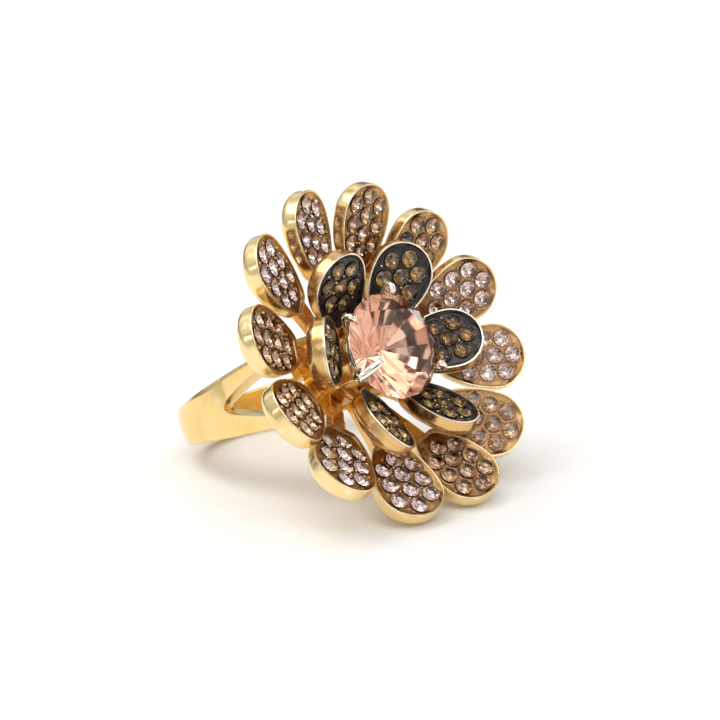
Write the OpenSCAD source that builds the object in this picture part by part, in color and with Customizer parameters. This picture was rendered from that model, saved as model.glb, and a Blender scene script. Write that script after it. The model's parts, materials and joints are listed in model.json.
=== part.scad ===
// Flower-headed cocktail ring: split-shoulder shank, two tiers of pave petal cups
// soldered to a stacked hub, and a round stone in a four-claw basket.
// Ring frame: X across the finger, Y along the finger hole, Z up the flower's axis,
// origin at the centre of the finger hole. The ring is then laid down on its two
// lowest petals and the back edge of the shank, and that resting frame is the part's.

/* [Finger ring] */
// Inside diameter of the finger hole
finger_d = 17.3; // [15.7:0.1:19.8]
// Thickness of the shank at the back
shank_t = 1.5; // [1.2:0.1:1.8]
// Width of the shank at the back
shank_w = 3.64; // [3:0.02:4.4]
// Width of the shank at the top of the shoulders
shoulder_w = 7.8; // [7:0.1:9]
// Height above the hole's centre where the shoulders start to split
split_z = 3.9; // [3:0.1:5]
// Width of the split at the top of the shoulders
split_w = 5.2; // [4:0.1:5.4]
// Half length of the solid bridge under the flower
bridge_x = 4.2; // [4:0.1:5]

/* [Outer flower] */
// Number of outer petals
outer_n = 12; // [12:1:12]
// Radius of the circle through the outer petal tips
outer_r = 15.5; // [15:0.1:16.5]
// Height of the outer petal tips above the hole's centre
outer_z = 19.0; // [18.6:0.1:20]
// Slope of the outer petals, tips raised
outer_slope = 28; // [24:1:31]
// Half width of an outer petal
outer_hw = 3.2; // [3:0.05:3.25]
// Length of an outer petal's cup
outer_len = 8.4; // [8.2:0.1:8.6]
// Depth of an outer petal's cup
outer_depth = 2.0; // [1.9:0.1:2.3]

/* [Inner flower] */
// Number of inner petals
inner_n = 6; // [6:1:6]
// Radius of the circle through the inner petal tips
inner_r = 9.6; // [9.2:0.1:10]
// Height of the inner petal tips above the outer ones
inner_rise = 1.9; // [1.5:0.1:2.2]
// Slope of the inner petals, tips raised
inner_slope = 42; // [39:1:45]
// Half width of an inner petal
inner_hw = 3.15; // [3:0.05:3.25]
// Length of an inner petal's cup
inner_len = 7.5; // [7.3:0.1:7.7]
// Depth of an inner petal's cup
inner_depth = 1.9; // [1.6:0.1:2]

/* [Stones] */
// Diameter of a pave stone
pave_d = 1.6; // [1.4:0.05:1.65]
// Diameter of the centre stone
centre_d = 10; // [9:0.1:10.2]
// Depth of the centre stone's girdle below the outer petal tips
centre_drop = 0.55; // [0.3:0.05:0.8]
// Width of the raised rim around each bed of stones
rim_w = 0.4; // [0.3:0.05:0.45]

/* [Resting position] */
// Tilt of the flower's axis above the floor
lay_tilt = 27.17; // [26:0.01:29]

/* [Hidden] */
$fn = 64;

ri = finger_d / 2;
ro = ri + shank_t;
bridge_z = ri + 1.95;          // flat seat on top of the bridge
hub_r = 3.8;                   // flat-to-centre distance of the outer hub
hub_top = bridge_z + 2.6;
ihub_r = 3.2;                  // flat-to-centre distance of the inner hub
ihub_top = hub_top + 2.2;
stem_hw = 0.9;                 // half width of a petal's stem
tip_s = 3.0;                   // distance from a petal's tip to its widest point
wall_h_o = 1.25;               // straight part of an outer cup's wall
wall_h_i = 1.2;                // straight part of an inner cup's wall
bevel = 0.5;                   // inset of a cup's floor from its wall
pocket = 0.85;                 // depth of the recess that holds the bed
bed_top = -0.28;               // top of the bed below the rim
girdle_z = -0.08;              // girdle plane of the pave stones below the rim
pav_h = 0.66;                  // depth of a pave stone below its girdle
pave_r = pave_d / 2;
seat_r = pave_r * (1 - (girdle_z - bed_top) / pav_h);  // hole each pave stone sits on
inner_z = outer_z + inner_rise;

// Small hand-bent differences from petal to petal, first petal at 15 degrees from X
outer_turn = [-0.5, -1, 0, -2.5, -3, -2, -1.5, -1.5, 1.2, 0.5, -1.5, -1.5];
outer_bend = [4, 0, 0, -7.5, -6.5, -1, 4, 2.5, 0.5, 3, -2, 0.5];
outer_roll = [18, 17, 13, 18.5, 15.5, 6.5, 10, 9, 13.5, 3.5, 11, 1.5];
outer_slip = [-0.4, -0.5, -0.2, 0, 0, -0.1, 0, 0, 0.25, 0.8, 0.5, 0.1];
inner_turn = [-6.5, -7, -2, -8.5, 1.5, 1];
inner_bend = [-7.5, -13, -3, 0, -3, -7.5];
inner_roll = [-21, -2, -13, -7.5, -15, -29];
inner_slip = [-0.4, -0.35, -0.25, 0, -0.15, 0];
gold = "goldenrod"; pale = "palegoldenrod";
rose = [0.82, 0.66, 0.66]; tan = [0.66, 0.50, 0.38]; smoke = [0.30, 0.22, 0.14];
// stone colour of each outer petal, in order from 15 degrees
outer_col = [rose, tan, tan, rose, rose, tan, tan, rose, rose, tan, tan, rose];

// half width of a petal at distance s from its tip
function hw_at(s, hw, len, root, p) = s <= tip_s
  ? hw * sqrt(max(0, 1 - pow((tip_s - s) / tip_s, 2)))
  : hw * (1 - (1 - root) * pow((s - tip_s) / (len - tip_s), p));
// closed outline of a petal: round tip at x = 0, root towards -x, drawn in by inset
function outline(hw, len, root, p, inset = 0, n = 20, m = 7) = concat(
  [for (k = [0:n]) let(a = 180 * k / n)
    [-(tip_s - (tip_s - inset) * sin(a)), -(hw - inset) * cos(a)]],
  [for (k = [1:m]) let(s = tip_s + (len - inset - tip_s) * k / m)
    [-s, hw_at(s, hw, len, root, p) - inset]],
  [for (k = [m:-1:1]) let(s = tip_s + (len - inset - tip_s) * k / m)
    [-s, -(hw_at(s, hw, len, root, p) - inset)]]);
function outer_line(inset = 0) = outline(outer_hw, outer_len, 0.4, 2.0, inset);
function inner_line(inset = 0) = outline(inner_hw, inner_len, 0.45, 2.2, inset);

// where each petal is hinged at its root: [radius, height, azimuth, slope, cup length, roll]
function outer_at(i) = [outer_r - outer_len * cos(outer_slope), outer_z - outer_len * sin(outer_slope),
  15 + 30 * i + outer_turn[i], outer_slope + outer_bend[i], outer_len + outer_slip[i], outer_roll[i]];
function inner_at(i) = [inner_r - inner_len * cos(inner_slope), inner_z - inner_len * sin(inner_slope),
  60 * i + inner_turn[i], inner_slope + inner_bend[i], inner_len + inner_slip[i], inner_roll[i]];
// a petal's own point [x, y, z] in the ring frame
function on_ring(w, q) = let(
    y = q[1] * cos(w[5]) - q[2] * sin(w[5]),
    z = q[1] * sin(w[5]) + q[2] * cos(w[5]),
    r = w[0] + (w[4] + q[0]) * cos(w[3]) - z * sin(w[3]),
    h = w[1] + (w[4] + q[0]) * sin(w[3]) + z * cos(w[3]))
  [r * cos(w[2]) - y * sin(w[2]), r * sin(w[2]) + y * cos(w[2]), h];
// a ring-frame point after the ring is laid down
function laid(q) = [q[0], q[1] * sin(lay_tilt) - q[2] * cos(lay_tilt), q[1] * cos(lay_tilt) + q[2] * sin(lay_tilt)];

// corner points of every cup and of the shank's back, laid down, for the part's box
cup_pts = concat(
  [for (i = [0:outer_n - 1]) for (q = outer_line()) for (z = [0, -wall_h_o]) laid(on_ring(outer_at(i), [q[0], q[1], z]))],
  [for (i = [0:outer_n - 1]) for (q = outer_line(bevel)) laid(on_ring(outer_at(i), [q[0], q[1], -outer_depth]))],
  [for (i = [0:inner_n - 1]) for (q = inner_line()) laid(on_ring(inner_at(i), [q[0], q[1], 0]))]);
back_pts = [for (a = [-60:2:60]) for (s = [-1, 1]) laid([ro * sin(a), s * shank_w / 2, -ro * cos(a)])];
low_cup = min([for (q = cup_pts) q[2]]);
low_back = min([for (q = back_pts) q[2]]);
all_pts = concat(cup_pts, back_pts);
rest_at = [-(min([for (q = all_pts) q[0]]) + max([for (q = all_pts) q[0]])) / 2,
  -(min([for (q = all_pts) q[1]]) + max([for (q = all_pts) q[1]])) / 2,
  -min(low_cup, low_back)];
echo(low_cup = low_cup, low_back = low_back, rest_at = rest_at,
  ymin = min([for (q = all_pts) q[1]]), ymax = max([for (q = all_pts) q[1]]), zmax = max([for (q = all_pts) q[2]]),
  xmin = min([for (q = all_pts) q[0]]), xmax = max([for (q = all_pts) q[0]]));

module lie() translate(rest_at) rotate([90 - lay_tilt, 0, 0]) children();
module place(w, roll = true) rotate([0, 0, w[2]]) translate([w[0], 0, w[1]]) rotate([0, -w[3], 0])
  translate([w[4], 0, 0]) rotate([roll ? w[5] : 0, 0, 0]) children();
module slab(pts, z0, z1) translate([0, 0, z0]) linear_extrude(z1 - z0) polygon(pts);
// regular prism with flat sides r from its axis
module prism(n, r, z0, z1, turn = 0) rotate([0, 0, turn]) translate([0, 0, z0])
  cylinder(r = r / cos(180 / n), h = z1 - z0, $fn = n);

// ---- shank: two crossed outlines, the finger hole and a V-shaped split in each shoulder ----
function half_w(z) = z < -5 ? shank_w / 2
  : shank_w / 2 + (shoulder_w - shank_w) / 2 * pow(min(1, (z + 5) / 14.5), 1.35);
// the shoulders' straight sides start just inside the band's circle, so they cross it cleanly
module shoulder_outline() polygon([[-9.487, 3.28], [-7.4, bridge_z], [7.4, bridge_z], [9.487, 3.28], [0, 0]]);
module side_outline() polygon(concat(
  [for (z = [-ro - 1, -5, -2.5, 0, 2.5, 5, 7.5, 9.5, bridge_z + 1]) [half_w(z), z]],
  [for (z = [bridge_z + 1, 9.5, 7.5, 5, 2.5, 0, -2.5, -5, -ro - 1]) [-half_w(z), z]]));
module split_outline() union() {
  polygon([[-0.34, split_z + 0.1], [-split_w * 0.26, split_z + 2.5], [-split_w / 2, 9.6], [-split_w / 2, bridge_z + 2],
    [split_w / 2, bridge_z + 2], [split_w / 2, 9.6], [split_w * 0.26, split_z + 2.5], [0.34, split_z + 0.1]]);
  translate([0, split_z + 0.12]) circle(r = 0.38);
}
module shank() color(gold) lie() difference() {
  intersection() {
    rotate([90, 0, 0]) union() {
      cylinder(r = ro, h = 30, center = true, $fn = 128);
      linear_extrude(28, center = true) shoulder_outline();
    }
    rotate([90, 0, 90]) linear_extrude(40, center = true) side_outline();
  }
  rotate([90, 0, 0]) cylinder(r = ri, h = 40, center = true, $fn = 128);
  for (s = [-1, 1]) translate([s * (bridge_x + 8), 0, 0]) rotate([90, 0, 90]) linear_extrude(16, center = true) split_outline();
}

// ---- hubs: a twelve-sided drum for the outer stems, a six-sided one for the inner stems ----
module outer_hub() color(gold) lie() union() {
  prism(12, hub_r, bridge_z, hub_top - 0.5);
  translate([0, 0, hub_top - 0.5]) cylinder(r = hub_r - 0.05, h = 0.5);
}
module inner_hub() color(gold) lie() difference() {
  prism(6, ihub_r, hub_top, ihub_top, 30);
  translate([0, 0, hub_top + 0.4]) cylinder(r = 1.75, h = 4);
}

// ---- petal cups ----
module cup(line, floor_line, depth, wall) union() {
  slab(line, -wall, 0);
  slab(floor_line, -depth, -wall);
}
// flat stem from under the cup's root to the hub
module stem(len, reach, low) translate([-reach, -stem_hw, -low]) cube([reach - len + 1.3, 2 * stem_hw, low - 0.55]);
module outer_petal(i) color(gold) lie() difference() {
  union() {
    place(outer_at(i)) cup(outer_line(), outer_line(bevel), outer_depth, wall_h_o);
    place(outer_at(i), false) stem(outer_len, 14.7, 1.5);
  }
  place(outer_at(i)) slab(outer_line(rim_w), -pocket, 1);
  prism(12, hub_r, 5, 25);
}
module inner_petal(i) color(pale) lie() difference() {
  union() {
    place(inner_at(i)) cup(inner_line(), inner_line(bevel), inner_depth, wall_h_i);
    place(inner_at(i), false) stem(inner_len, 10, 1.15);
  }
  place(inner_at(i)) slab(inner_line(rim_w * 0.75), -pocket, 1);
  prism(6, ihub_r, 5, 25, 30);
}

// ---- beds and pave stones ----
function outer_seats() = concat([for (k = [0:3]) [-1.25 - 1.75 * k, 0]],
  [for (k = [0:2]) for (s = [-1, 1]) [-2.12 - 1.75 * k, s * [1.62, 1.65, 1.5][k]]]);
function inner_seats() = concat([for (k = [0:2]) [-1.45 - 1.85 * k, 0]],
  [for (k = [0:1]) for (s = [-1, 1]) [-2.38 - 1.85 * k, s * 1.5]]);
module bed(line, seats) translate([0, 0, -pocket]) linear_extrude(bed_top + pocket) difference() {
  polygon(line);
  for (q = seats) translate(q) circle(r = seat_r, $fn = 24);
}
module pave(seats) for (q = seats) translate([q[0], q[1], girdle_z]) rotate_extrude($fn = 24)
  polygon([[0, -pav_h], [pave_r, 0], [pave_r, 0.05], [pave_r * 0.58, 0.26], [0, 0.26]]);
module outer_bed(i) color("saddlebrown") lie() place(outer_at(i)) bed(outer_line(rim_w), outer_seats());
module outer_stones(i) color(outer_col[i]) lie() place(outer_at(i)) pave(outer_seats());
module inner_bed(i) color([0.12, 0.10, 0.09]) lie() place(inner_at(i)) bed(inner_line(rim_w * 0.75), inner_seats());
module inner_stones(i) color(smoke) lie() place(inner_at(i)) pave(inner_seats());

// ---- centre stone and its basket ----
stone_r = centre_d / 2;
stone_z = outer_z - centre_drop;          // girdle height
stone_pav = 0.84 * stone_r;
stone_crown = 0.28 * stone_r;
table_r = 0.66 * stone_r;
claw_az = [72, 140, 200, 325];            // azimuth of each claw: bent by hand, so not evenly spaced
claw_over = [0, 0, 1.8, 0];               // how far each claw runs up the crown past the girdle
module centre_stone() color([0.95, 0.68, 0.58]) lie() translate([0, 0, stone_z]) rotate_extrude()
  polygon([[0, -stone_pav], [stone_r, 0], [stone_r, 0.12], [table_r, 0.12 + stone_crown], [0, 0.12 + stone_crown]]);
// round bar from p to q, both [radius, height]
module bar(p, q, r) let(d = q - p) translate([p[0], 0, p[1]]) rotate([0, atan2(d[0], d[1]), 0]) cylinder(r = r, h = norm(d));
module centre_setting() color(pale) lie() union() {
  translate([0, 0, ihub_top]) rotate_extrude() translate([2.45, 0]) square([0.8, 0.6]);
  translate([0, 0, stone_z - 1.6]) rotate_extrude() translate([3.7, 0]) square([0.4, 0.35]);
  for (k = [0:3]) rotate([0, 0, claw_az[k]]) {
    tip = claw_over[k] > 0
      ? [stone_r + 0.15 - claw_over[k] * 0.78, stone_z + 0.59 + claw_over[k] * 0.63]
      : [stone_r + 0.03, stone_z + 0.71];
    bar([2.85, ihub_top + 0.2], [stone_r + 0.62, stone_z + 0.05], 0.4);
    translate([stone_r + 0.62, 0, stone_z + 0.05]) sphere(r = 0.4);
    bar([stone_r + 0.62, stone_z + 0.05], tip, 0.36);
    translate([tip[0], 0, tip[1]]) sphere(r = claw_over[k] > 0 ? 0.4 : 0.45);
  }
}

shank();
outer_hub();
inner_hub();
centre_setting();
centre_stone();
outer_petal(0);  // outer_petal_01
outer_petal(1);  // outer_petal_02
outer_petal(2);  // outer_petal_03
outer_petal(3);  // outer_petal_04
outer_petal(4);  // outer_petal_05
outer_petal(5);  // outer_petal_06
outer_petal(6);  // outer_petal_07
outer_petal(7);  // outer_petal_08
outer_petal(8);  // outer_petal_09
outer_petal(9);  // outer_petal_10
outer_petal(10);  // outer_petal_11
outer_petal(11);  // outer_petal_12
outer_bed(0);  // outer_bed_01
outer_bed(1);  // outer_bed_02
outer_bed(2);  // outer_bed_03
outer_bed(3);  // outer_bed_04
outer_bed(4);  // outer_bed_05
outer_bed(5);  // outer_bed_06
outer_bed(6);  // outer_bed_07
outer_bed(7);  // outer_bed_08
outer_bed(8);  // outer_bed_09
outer_bed(9);  // outer_bed_10
outer_bed(10);  // outer_bed_11
outer_bed(11);  // outer_bed_12
outer_stones(0);  // outer_stones_01
outer_stones(1);  // outer_stones_02
outer_stones(2);  // outer_stones_03
outer_stones(3);  // outer_stones_04
outer_stones(4);  // outer_stones_05
outer_stones(5);  // outer_stones_06
outer_stones(6);  // outer_stones_07
outer_stones(7);  // outer_stones_08
outer_stones(8);  // outer_stones_09
outer_stones(9);  // outer_stones_10
outer_stones(10);  // outer_stones_11
outer_stones(11);  // outer_stones_12
inner_petal(0);  // inner_petal_01
inner_petal(1);  // inner_petal_02
inner_petal(2);  // inner_petal_03
inner_petal(3);  // inner_petal_04
inner_petal(4);  // inner_petal_05
inner_petal(5);  // inner_petal_06
inner_bed(0);  // inner_bed_01
inner_bed(1);  // inner_bed_02
inner_bed(2);  // inner_bed_03
inner_bed(3);  // inner_bed_04
inner_bed(4);  // inner_bed_05
inner_bed(5);  // inner_bed_06
inner_stones(0);  // inner_stones_01
inner_stones(1);  // inner_stones_02
inner_stones(2);  // inner_stones_03
inner_stones(3);  // inner_stones_04
inner_stones(4);  // inner_stones_05
inner_stones(5);  // inner_stones_06
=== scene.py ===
import json
import math
import random

import bmesh
import bpy
import numpy as np
from mathutils import Matrix, Vector, noise
from mathutils.geometry import delaunay_2d_cdt


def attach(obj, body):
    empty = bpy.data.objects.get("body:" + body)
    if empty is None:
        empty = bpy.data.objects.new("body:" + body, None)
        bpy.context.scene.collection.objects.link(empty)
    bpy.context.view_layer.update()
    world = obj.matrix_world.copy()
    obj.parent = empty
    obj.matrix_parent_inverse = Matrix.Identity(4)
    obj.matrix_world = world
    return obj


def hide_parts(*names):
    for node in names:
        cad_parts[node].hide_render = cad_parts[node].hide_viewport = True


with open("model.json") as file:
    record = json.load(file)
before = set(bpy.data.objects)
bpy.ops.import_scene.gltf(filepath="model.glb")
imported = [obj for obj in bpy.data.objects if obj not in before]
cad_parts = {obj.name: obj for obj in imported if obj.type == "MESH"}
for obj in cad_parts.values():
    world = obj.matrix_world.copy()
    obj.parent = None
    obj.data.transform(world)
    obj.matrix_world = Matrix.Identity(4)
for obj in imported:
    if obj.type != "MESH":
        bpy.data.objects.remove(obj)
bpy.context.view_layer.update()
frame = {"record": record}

# ---------------------------------------------------------------- frame
# Ring frame, mm: X across the finger, Y along the finger hole, Z up the flower's axis, origin at the hole's centre.
bore = [m for m in frame["record"]["mounts"] if m["name"] == "finger_bore"][0]
HOLE = np.array(bore["pos_m"], float)
AX = np.array([1.0, 0.0, 0.0])
AY = np.array(bore["axis"], float)
AY = AY / np.linalg.norm(AY)
if AY[2] < 0:
    AY = -AY
AZ = np.cross(AX, AY)
BASIS = np.array([AX, AY, AZ])


def to_row(p):
    """Ring-frame millimetres to the row frame's metres."""
    return HOLE + 0.001 * (np.asarray(p, float).reshape(-1, 3) @ BASIS)


# ---------------------------------------------------------------- the same dimensions as the CAD source (mm, degrees)
RI, RO = 8.65, 10.15
SHANK_W, SHOULDER_W = 3.64, 7.8
BRIDGE_X, BRIDGE_Z = 4.2, 10.6
OUTER = dict(n=12, r=15.5, z=19.0, slope=28, hw=3.2, len=8.4, depth=2.0, root=0.4, p=2.0, rim=0.4, first=15, step=30,
    turn=[-0.5, -1, 0, -2.5, -3, -2, -1.5, -1.5, 1.2, 0.5, -1.5, -1.5],
    bend=[4, 0, 0, -7.5, -6.5, -1, 4, 2.5, 0.5, 3, -2, 0.5],
    roll=[18, 17, 13, 18.5, 15.5, 6.5, 10, 9, 13.5, 3.5, 11, 1.5],
    slip=[-0.4, -0.5, -0.2, 0, 0, -0.1, 0, 0, 0.25, 0.8, 0.5, 0.1])
INNER = dict(n=6, r=9.6, z=20.9, slope=42, hw=3.15, len=7.5, depth=1.9, root=0.45, p=2.2, rim=0.3, first=0, step=60,
    turn=[-6.5, -7, -2, -8.5, 1.5, 1],
    bend=[-7.5, -13, -3, 0, -3, -7.5],
    roll=[-21, -2, -13, -7.5, -15, -29],
    slip=[-0.4, -0.35, -0.25, 0, -0.15, 0])
TIP_S = 3.0
HUB_R, HUB_TOP = 3.8, 13.2
IHUB_R, IHUB_TOP = 3.2, 15.4
PAVE_R, GIRDLE_Z, PAV_H, BED_TOP, POCKET = 0.8, -0.08, 0.66, -0.28, 0.85
STONE_R, STONE_Z = 5.0, 18.45
CLAW_AZ = [72, 140, 200, 325]
CLAW_OVER = [0, 0, 1.8, 0]
ROSE = {0, 3, 4, 7, 8, 11}
OUTER_SEATS = [(-1.25 - 1.75 * k, 0.0) for k in range(4)] + [(-2.12 - 1.75 * k, s * (1.62, 1.65, 1.5)[k]) for k in range(3) for s in (-1, 1)]
INNER_SEATS = [(-1.45 - 1.85 * k, 0.0) for k in range(3)] + [(-2.38 - 1.85 * k, s * 1.5) for k in range(2) for s in (-1, 1)]


def where(f, i):
    """Root radius and height, azimuth, slope, length and roll of petal i of flower f."""
    s = math.radians(f["slope"])
    return (f["r"] - f["len"] * math.cos(s), f["z"] - f["len"] * math.sin(s), math.radians(f["first"] + f["step"] * i + f["turn"][i]),
            math.radians(f["slope"] + f["bend"][i]), f["len"] + f["slip"][i], math.radians(f["roll"][i]))


def petal_to_ring(f, i, pts, roll=True):
    r0, h0, az, sl, ln, ro = where(f, i)
    if not roll:
        ro = 0.0
    q = np.asarray(pts, float).reshape(-1, 3)
    y = q[:, 1] * math.cos(ro) - q[:, 2] * math.sin(ro)
    z = q[:, 1] * math.sin(ro) + q[:, 2] * math.cos(ro)
    r = r0 + (ln + q[:, 0]) * math.cos(sl) - z * math.sin(sl)
    h = h0 + (ln + q[:, 0]) * math.sin(sl) + z * math.cos(sl)
    return np.stack([r * math.cos(az) - y * math.sin(az), r * math.sin(az) + y * math.cos(az), h], 1)


# ---------------------------------------------------------------- mesh helpers
class Shape:
    """Collects vertices (ring frame, mm), faces and a material index for each face."""

    def __init__(self):
        self.v, self.f, self.m, self.sharp = [], [], [], []

    def add(self, verts, faces, mat=0):
        k = len(self.v)
        self.v += [tuple(p) for p in np.asarray(verts, float).reshape(-1, 3)]
        for j, f in enumerate(faces):
            self.f.append([k + a for a in f])
            self.m.append(mat[j] if isinstance(mat, (list, tuple)) else mat)
        return k

    def object(self, name, mats, slot=None, replaces=(), smooth=40, weld=1e-4, recalc=True):
        bm = bmesh.new()
        vs = [bm.verts.new(p) for p in self.v]
        for f, m in zip(self.f, self.m):
            if len(set(f)) < 3:
                continue
            try:
                face = bm.faces.new([vs[a] for a in f])
                face.material_index = m
                face.smooth = smooth > 0
            except ValueError:
                pass
        if weld:
            bmesh.ops.remove_doubles(bm, verts=bm.verts[:], dist=weld)
        bmesh.ops.dissolve_degenerate(bm, edges=bm.edges[:], dist=1e-5)
        bmesh.ops.delete(bm, geom=[v for v in bm.verts if not v.link_faces], context="VERTS")
        if recalc:
            bmesh.ops.recalc_face_normals(bm, faces=bm.faces[:])
        me = bpy.data.meshes.new(name)
        co = to_row([v.co[:] for v in bm.verts])
        for v, c in zip(bm.verts, co):
            v.co = c
        bm.to_mesh(me)
        bm.free()
        for m in mats:
            me.materials.append(m)
        if smooth > 0:
            me.set_sharp_from_angle(angle=math.radians(smooth))
        ob = bpy.data.objects.new(name, me)
        bpy.context.scene.collection.objects.link(ob)
        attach(ob, "root")
        if replaces:
            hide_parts(*replaces)
        return ob


def strip(a, b, n, close=True):
    """Quads between loop a and loop b, each of n vertices."""
    return [[a + k, a + (k + 1) % n, b + (k + 1) % n, b + k] for k in range(n if close else n - 1)]


def ball(c, r, squash=1.0, nu=12, nv=8):
    """Closed round bead at c with radius r."""
    v = [(c[0], c[1], c[2] + r * squash)]
    for j in range(1, nv):
        t = math.pi * j / nv
        v += [(c[0] + r * math.sin(t) * math.cos(2 * math.pi * k / nu), c[1] + r * math.sin(t) * math.sin(2 * math.pi * k / nu),
               c[2] + r * squash * math.cos(t)) for k in range(nu)]
    v.append((c[0], c[1], c[2] - r * squash))
    f = [[0, 1 + k, 1 + (k + 1) % nu] for k in range(nu)]
    for j in range(nv - 2):
        f += strip(1 + j * nu, 1 + (j + 1) * nu, nu)
    e, b = len(v) - 1, 1 + (nv - 2) * nu
    f += [[b + (k + 1) % nu, b + k, e] for k in range(nu)]
    return v, f


def tube(path, radii, nu=14, flat=None):
    """Closed round bar along path (points in 3-D) with a radius at each point; flat squeezes it along one direction."""
    path = [Vector(p) for p in path]
    v, f = [], []
    up = Vector((0, 0, 1))
    for j, p in enumerate(path):
        a, b = path[max(j - 1, 0)], path[min(j + 1, len(path) - 1)]
        d = (b - a).normalized()
        s = d.cross(up if abs(d.z) < 0.95 else Vector((1, 0, 0))).normalized()
        n = s.cross(d).normalized()
        r = radii[j]
        ry = r * (flat[j] if flat else 1.0)
        for k in range(nu):
            t = 2 * math.pi * k / nu
            v.append(p + s * (r * math.cos(t)) + n * (ry * math.sin(t)))
    for j in range(len(path) - 1):
        f += strip(j * nu, (j + 1) * nu, nu)
    f.append(list(range(nu))[::-1])
    f.append([(len(path) - 1) * nu + k for k in range(nu)])
    return [tuple(p) for p in v], f


def wob(x, y, z, s, amp):
    return amp * noise.noise(Vector((x * s, y * s, z * s)))


# ---------------------------------------------------------------- materials
def material(name):
    m = bpy.data.materials.new(name)
    m.use_nodes = True
    nt = m.node_tree
    nt.nodes.clear()
    out = nt.nodes.new("ShaderNodeOutputMaterial")
    b = nt.nodes.new("ShaderNodeBsdfPrincipled")
    nt.links.new(b.outputs[0], out.inputs[0])
    return m, nt, b


def node(nt, kind, **kw):
    n = nt.nodes.new(kind)
    for k, v in kw.items():
        if k in n.inputs:
            n.inputs[k].default_value = v
        else:
            setattr(n, k, v)
    return n


def coords(nt, scale=1000.0):
    """Object coordinates in millimetres."""
    t = nt.nodes.new("ShaderNodeTexCoord")
    m = nt.nodes.new("ShaderNodeMapping")
    m.inputs["Scale"].default_value = (scale,) * 3
    nt.links.new(t.outputs["Object"], m.inputs["Vector"])
    return m.outputs[0]


def ramp(nt, src, stops):
    r = nt.nodes.new("ShaderNodeValToRGB")
    el = r.color_ramp.elements
    while len(el) > 1:
        el.remove(el[-1])
    for j, (p, c) in enumerate(stops):
        e = el[0] if j == 0 else el.new(p)
        e.position = p
        e.color = (*c, 1) if len(c) == 3 else c
    nt.links.new(src, r.inputs[0])
    return r.outputs[0]


def grey(v):
    return (v, v, v)


def metal(name, base, dark, pale, rough=(0.10, 0.22), bump=0.004, grain=2.2, worn=0.5, pits=0.0):
    """Polished, plated cast metal: tarnish in patches, paler worn edges, casting ripple and fine handling marks."""
    m, nt, b = material(name)
    xyz = coords(nt)
    b.inputs["Metallic"].default_value = 1.0
    n1 = node(nt, "ShaderNodeTexNoise", Scale=0.35, Detail=3.0, Roughness=0.55)
    nt.links.new(xyz, n1.inputs["Vector"])
    col = ramp(nt, n1.outputs["Fac"], [(0.32, dark), (0.52, base), (0.75, base)])
    geo = nt.nodes.new("ShaderNodeNewGeometry")
    edge = ramp(nt, geo.outputs["Pointiness"], [(0.50, grey(0)), (0.60, grey(worn))])
    mix = nt.nodes.new("ShaderNodeMix")
    mix.data_type = "RGBA"
    nt.links.new(edge, mix.inputs["Factor"])
    nt.links.new(col, mix.inputs["A"])
    mix.inputs["B"].default_value = (*pale, 1)
    nt.links.new(mix.outputs["Result"], b.inputs["Base Color"])
    n2 = node(nt, "ShaderNodeTexNoise", Scale=grain, Detail=4.0, Roughness=0.6)
    nt.links.new(xyz, n2.inputs["Vector"])
    nt.links.new(ramp(nt, n2.outputs["Fac"], [(0.3, grey(rough[0])), (0.7, grey(rough[1]))]), b.inputs["Roughness"])
    n3 = node(nt, "ShaderNodeTexNoise", Scale=0.9, Detail=3.0, Roughness=0.5)
    nt.links.new(xyz, n3.inputs["Vector"])
    bp = node(nt, "ShaderNodeBump", Strength=0.35, Distance=bump * 0.001 * 12)
    nt.links.new(n3.outputs["Fac"], bp.inputs["Height"])
    last = bp
    if pits:
        n4 = node(nt, "ShaderNodeTexNoise", Scale=6.0, Detail=5.0, Roughness=0.7)
        nt.links.new(xyz, n4.inputs["Vector"])
        bp2 = node(nt, "ShaderNodeBump", Strength=pits, Distance=0.00006)
        nt.links.new(n4.outputs["Fac"], bp2.inputs["Height"])
        nt.links.new(bp.outputs[0], bp2.inputs["Normal"])
        last = bp2
    nt.links.new(last.outputs[0], b.inputs["Normal"])
    return m


def glass(name, tint, deep, ior=1.62, rough=0.01, transmission=1.0, scale=0.9):
    """Faceted glass: slight colour change from stone to stone and a few dull facets."""
    m, nt, b = material(name)
    xyz = coords(nt)
    n1 = node(nt, "ShaderNodeTexNoise", Scale=scale, Detail=1.0)
    nt.links.new(xyz, n1.inputs["Vector"])
    nt.links.new(ramp(nt, n1.outputs["Fac"], [(0.35, deep), (0.62, tint)]), b.inputs["Base Color"])
    b.inputs["Transmission Weight"].default_value = transmission
    b.inputs["IOR"].default_value = ior
    n2 = node(nt, "ShaderNodeTexNoise", Scale=3.0, Detail=3.0)
    nt.links.new(xyz, n2.inputs["Vector"])
    nt.links.new(ramp(nt, n2.outputs["Fac"], [(0.45, grey(rough)), (0.8, grey(rough + 0.06))]), b.inputs["Roughness"])
    return m


def foil(name, tint, deep, rough=0.06):
    """Mirror foil on the back of a paste stone; patches of the deep colour paint dark facet reflections within each
    stone.
    """
    m, nt, b = material(name)
    xyz = coords(nt)
    b.inputs["Metallic"].default_value = 1.0
    n1 = node(nt, "ShaderNodeTexNoise", Scale=2.0, Detail=2.0)
    nt.links.new(xyz, n1.inputs["Vector"])
    # painted dark reflections: noise patches of the deep colour darken parts of each stone's foil
    nt.links.new(ramp(nt, n1.outputs["Fac"], [(0.36, deep), (0.60, tint)]), b.inputs["Base Color"])
    n2 = node(nt, "ShaderNodeTexNoise", Scale=4.0, Detail=2.0)
    nt.links.new(xyz, n2.inputs["Vector"])
    nt.links.new(ramp(nt, n2.outputs["Fac"], [(0.4, grey(rough)), (0.8, grey(rough + 0.1))]), b.inputs["Roughness"])
    return m


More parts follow.
